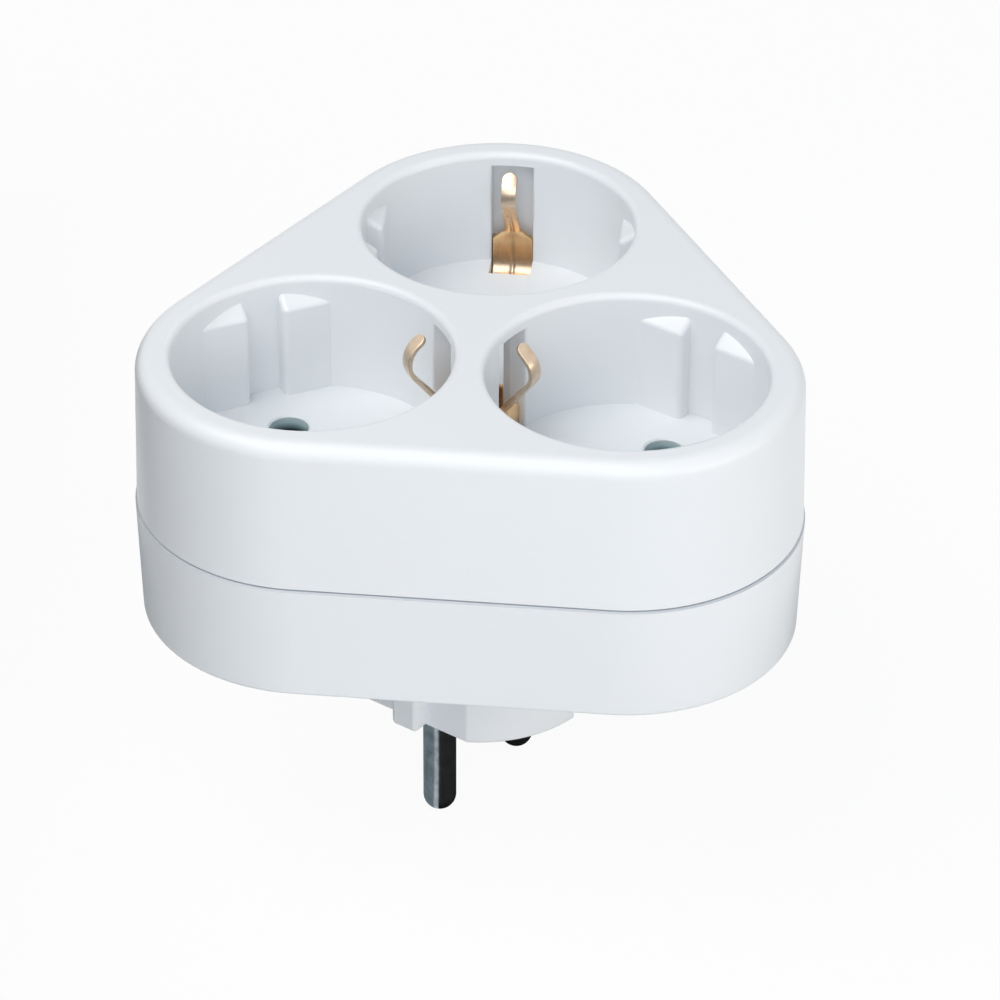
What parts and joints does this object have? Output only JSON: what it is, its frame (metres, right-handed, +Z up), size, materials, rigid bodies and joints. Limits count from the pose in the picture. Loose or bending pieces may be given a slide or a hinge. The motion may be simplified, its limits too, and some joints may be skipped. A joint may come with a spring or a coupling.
{
  "type": "multi socket adapter",
  "caption": "Rounded triangular plug-in adapter: round side-earthed socket wells on top, spring earth clips, a round plug with pins below.",
  "frame": {"origin": "centre of the plug's flat face", "axes": "+Z up out of the sockets, the plug pins along -Z, the two pins on the X axis, one socket towards -Y"},
  "size_m": [0.0932, 0.0875, 0.0798],
  "materials": {
    "white_plastic": "glossy moulded thermoset",
    "nickel": "nickel-plated brass, polished",
    "brass": "plain stamped",
    "bronze": "spring bronze, bright",
    "steel": "zinc plated"
  },
  "bodies": {
    "root": {"upper_housing": "white_plastic", "lower_housing": "white_plastic", "plug_pin_live": "nickel", "live_busbar": "brass", "live_contact_1": "brass", "live_contact_2": "brass", "live_contact_3": "brass", "plug_pin_neutral": "nickel", "neutral_busbar": "brass", "neutral_contact_1": "brass", "neutral_contact_2": "brass", "neutral_contact_3": "brass", "contact_rivets": "brass", "earth_clip_1": "bronze", "earth_clip_2": "bronze", "earth_clip_3": "bronze", "earth_plate": "bronze", "earth_rivets": "brass", "earth_post": "brass", "plug_earth_strap": "bronze", "assembly_screws": "steel"}
  },
  "joints": []
}
